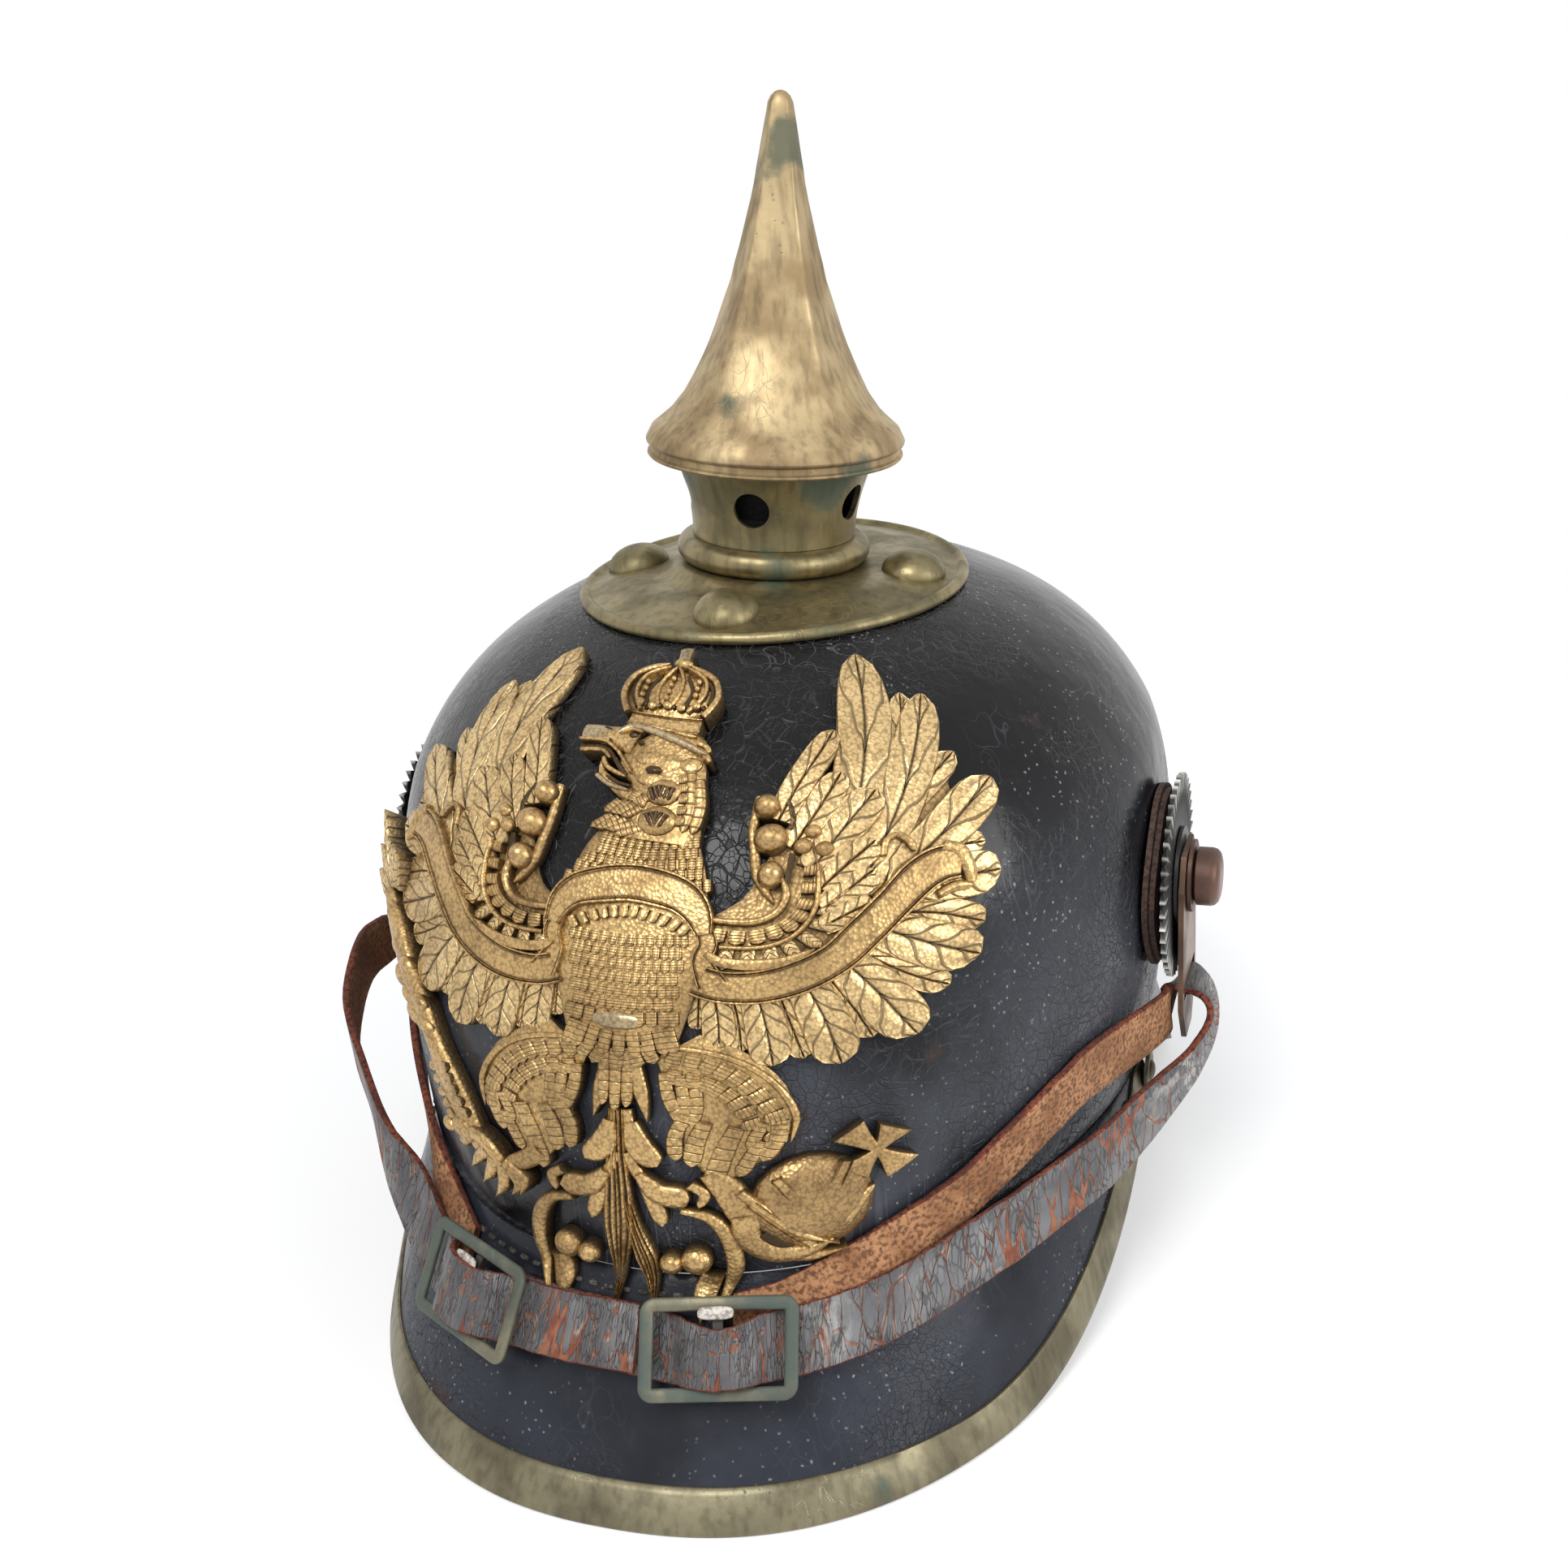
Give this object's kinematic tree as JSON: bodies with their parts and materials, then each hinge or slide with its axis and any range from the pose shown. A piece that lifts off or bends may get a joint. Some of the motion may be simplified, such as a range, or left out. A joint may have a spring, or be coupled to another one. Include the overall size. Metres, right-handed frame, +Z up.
{
  "type": "spiked leather helmet",
  "caption": "Lacquered leather helmet with lift-off brass spike, eagle front plate, brass-trimmed visor, sliding rear vent and swinging buckled chinstrap.",
  "frame": {"origin": "middle of the head opening, in the plane of the shell's lower edge", "axes": "+Z up through the crown, -Y towards the front plate and the front visor, +X towards the wearer's left"},
  "size_m": [0.2044, 0.2809, 0.2569],
  "materials": {
    "lacquered_leather": "glossy black lacquer with fine craquelure",
    "visor_leather": "smooth black lacquer, dusty",
    "strap_leather": "cracked black lacquer over tan leather",
    "liner_leather": "worn tan leather",
    "washer_leather": "dark brown leather",
    "aged_brass": "aged brass with pits and verdigris",
    "gilt_brass": "bright gilt stamped brass",
    "lug_brass": "dull yellow brass",
    "cockade_paint": "worn enamel with pale tooth edges",
    "dark_iron": "japanned sheet iron",
    "lace_cord": "twisted cotton cord"
  },
  "bodies": {
    "helmet": {"shell": "lacquered_leather", "front_visor": "visor_leather", "rear_visor": "visor_leather", "front_visor_trim": "aged_brass", "trim_rivets": "aged_brass", "base_plate": "aged_brass", "base_studs": "aged_brass", "stud_washers": "liner_leather", "crown_stiffener": "dark_iron", "collar_ring": "aged_brass", "vented_neck": "aged_brass", "spike_socket": "aged_brass", "rear_spine": "aged_brass", "spine_stud": "aged_brass", "sweatband": "liner_leather", "liner_fingers": "liner_leather", "liner_lace": "lace_cord", "eagle_plate": "gilt_brass", "eagle_loops": "gilt_brass", "eagle_wedges": "liner_leather", "leather_washer_inner_left": "washer_leather", "leather_washer_inner_right": "washer_leather", "leather_washer_outer_left": "washer_leather", "leather_washer_outer_right": "washer_leather", "cockade_left": "cockade_paint", "cockade_right": "cockade_paint", "cockade_centre_left": "cockade_paint", "cockade_centre_right": "cockade_paint", "side_post_left": "aged_brass", "side_post_right": "aged_brass", "post_washer_left": "aged_brass", "post_washer_right": "aged_brass", "post_nut_left": "aged_brass", "post_nut_right": "aged_brass"},
    "spike": {"spike": "aged_brass"},
    "vent_slider": {"vent_slider": "aged_brass"},
    "chinstrap": {"strap_lug_left": "lug_brass", "strap_lug_right": "lug_brass", "chinstrap_left": "strap_leather", "chinstrap_right": "strap_leather", "buckle_left": "lug_brass", "buckle_right": "lug_brass", "buckle_left_bar": "lug_brass", "buckle_right_bar": "lug_brass"}
  },
  "joints": [
    {"name": "spike_lift", "type": "slide", "parent": "helmet", "child": "spike", "axis": [0.075, 0.0383, 0.9965], "range_m": [0, 0.03]},
    {"name": "vent_slide", "type": "slide", "parent": "helmet", "child": "vent_slider", "axis": [0, -0.4712, 0.882], "range_m": [0, 0.012]},
    {"name": "chinstrap_swing", "type": "hinge", "parent": "helmet", "child": "chinstrap", "pos_m": [0, -0.004, 0.0454], "axis": [-1, 0, 0], "range_deg": [0, 60]}
  ]
}
